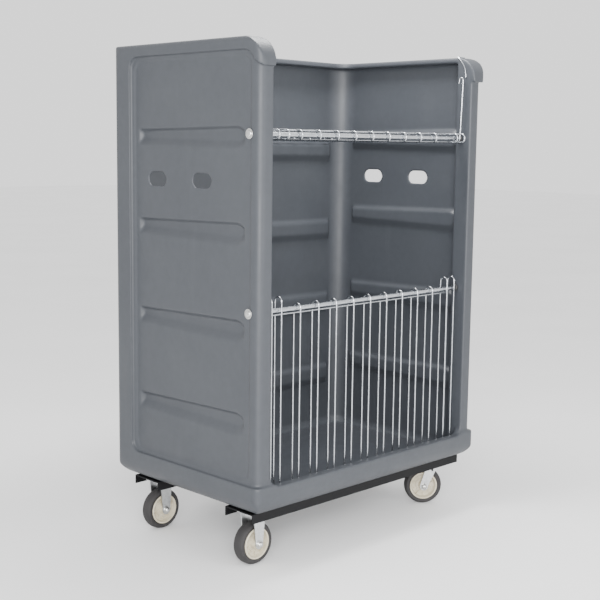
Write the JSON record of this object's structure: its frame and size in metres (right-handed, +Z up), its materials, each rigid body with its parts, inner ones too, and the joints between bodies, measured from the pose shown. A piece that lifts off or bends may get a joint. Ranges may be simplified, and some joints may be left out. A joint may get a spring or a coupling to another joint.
{
  "type": "housekeeping cart",
  "caption": "Tall open-front moulded laundry cart on casters, with hinged wire shelf and gate, steel rails and hand holes.",
  "frame": {"origin": "on the ground under the centre of the cart's outline", "axes": "+X along the cart towards the swivel casters, -Y out of the open front, +Z up"},
  "size_m": [1.21, 0.787, 1.8058],
  "materials": {
    "grey_plastic": "semi-matte moulded polyethylene",
    "black_steel": "satin black paint",
    "bolt_zinc": "zinc plated",
    "wire_chrome": "bright plated wire and rod",
    "caster_zinc": "zinc plated pressed steel",
    "grey_rubber": "dark grey tread",
    "cream_plastic": "cream moulded hub",
    "black_plastic": "black moulded"
  },
  "bodies": {
    "cart": {"cart_body": "grey_plastic", "front_rail": "black_steel", "rear_rail": "black_steel", "plate_bolt_1": "bolt_zinc", "plate_bolt_2": "bolt_zinc", "plate_bolt_3": "bolt_zinc", "plate_bolt_4": "bolt_zinc", "plate_bolt_5": "bolt_zinc", "plate_bolt_6": "bolt_zinc", "plate_bolt_7": "bolt_zinc", "plate_bolt_8": "bolt_zinc", "plate_bolt_9": "bolt_zinc", "plate_bolt_10": "bolt_zinc", "plate_bolt_11": "bolt_zinc", "plate_bolt_12": "bolt_zinc", "plate_bolt_13": "bolt_zinc", "plate_bolt_14": "bolt_zinc", "plate_bolt_15": "bolt_zinc", "plate_bolt_16": "bolt_zinc", "upper_rod": "wire_chrome", "upper_rod_bolt_left": "bolt_zinc", "upper_bushing_left": "black_plastic", "upper_rod_bolt_right": "bolt_zinc", "upper_bushing_right": "black_plastic", "lower_rod": "wire_chrome", "lower_rod_bolt_left": "bolt_zinc", "lower_bushing_left": "black_plastic", "lower_rod_bolt_right": "bolt_zinc", "lower_bushing_right": "black_plastic", "hook_keeper": "wire_chrome", "front_rigid_fork": "caster_zinc", "front_rigid_axle": "caster_zinc", "front_rigid_axle_nut": "caster_zinc", "rear_rigid_fork": "caster_zinc", "rear_rigid_axle": "caster_zinc", "rear_rigid_axle_nut": "caster_zinc", "front_swivel_top_plate": "caster_zinc", "front_swivel_kingpin": "caster_zinc", "rear_swivel_top_plate": "caster_zinc", "rear_swivel_kingpin": "caster_zinc"},
    "gate": {"wire_gate": "wire_chrome"},
    "shelf": {"wire_shelf": "wire_chrome"},
    "hold_up_hook": {"shelf_hook": "wire_chrome"},
    "front_rigid_wheel": {"front_rigid_tread": "grey_rubber", "front_rigid_hub": "cream_plastic"},
    "front_swivel_yoke": {"front_swivel_fork": "caster_zinc", "front_swivel_axle": "caster_zinc", "front_swivel_axle_nut": "caster_zinc"},
    "front_swivel_wheel": {"front_swivel_tread": "grey_rubber", "front_swivel_hub": "cream_plastic"},
    "rear_rigid_wheel": {"rear_rigid_tread": "grey_rubber", "rear_rigid_hub": "cream_plastic"},
    "rear_swivel_yoke": {"rear_swivel_fork": "caster_zinc", "rear_swivel_axle": "caster_zinc", "rear_swivel_axle_nut": "caster_zinc"},
    "rear_swivel_wheel": {"rear_swivel_tread": "grey_rubber", "rear_swivel_hub": "cream_plastic"}
  },
  "joints": [
    {"name": "gate_hinge", "type": "hinge", "parent": "cart", "child": "gate", "pos_m": [0, -0.331, 0.8975], "axis": [1, 0, 0], "range_deg": [0, 90]},
    {"name": "shelf_hinge", "type": "hinge", "parent": "cart", "child": "shelf", "pos_m": [0, -0.331, 1.488], "axis": [1, 0, 0], "range_deg": [0, 90]},
    {"name": "hook_pivot", "type": "hinge", "parent": "cart", "child": "hold_up_hook", "pos_m": [0.513, -0.331, 1.488], "axis": [1, 0, 0], "range_deg": [-80, 150]},
    {"name": "front_rigid_wheel_spin", "type": "hinge", "parent": "cart", "child": "front_rigid_wheel", "pos_m": [-0.505, -0.266, 0.0762], "axis": [0, 1, 0], "continuous": true},
    {"name": "front_swivel", "type": "hinge", "parent": "cart", "child": "front_swivel_yoke", "pos_m": [0.505, -0.266, 0.17], "axis": [0, 0, 1], "continuous": true},
    {"name": "front_swivel_wheel_spin", "type": "hinge", "parent": "front_swivel_yoke", "child": "front_swivel_wheel", "pos_m": [0.47206, -0.23836, 0.0762], "axis": [-0.6428, -0.766, 0], "continuous": true},
    {"name": "rear_rigid_wheel_spin", "type": "hinge", "parent": "cart", "child": "rear_rigid_wheel", "pos_m": [-0.505, 0.25, 0.0762], "axis": [0, 1, 0], "continuous": true},
    {"name": "rear_swivel", "type": "hinge", "parent": "cart", "child": "rear_swivel_yoke", "pos_m": [0.505, 0.25, 0.17], "axis": [0, 0, 1], "continuous": true},
    {"name": "rear_swivel_wheel_spin", "type": "hinge", "parent": "rear_swivel_yoke", "child": "rear_swivel_wheel", "pos_m": [0.46328, 0.2604, 0.0762], "axis": [-0.2419, -0.9703, 0], "continuous": true}
  ]
}
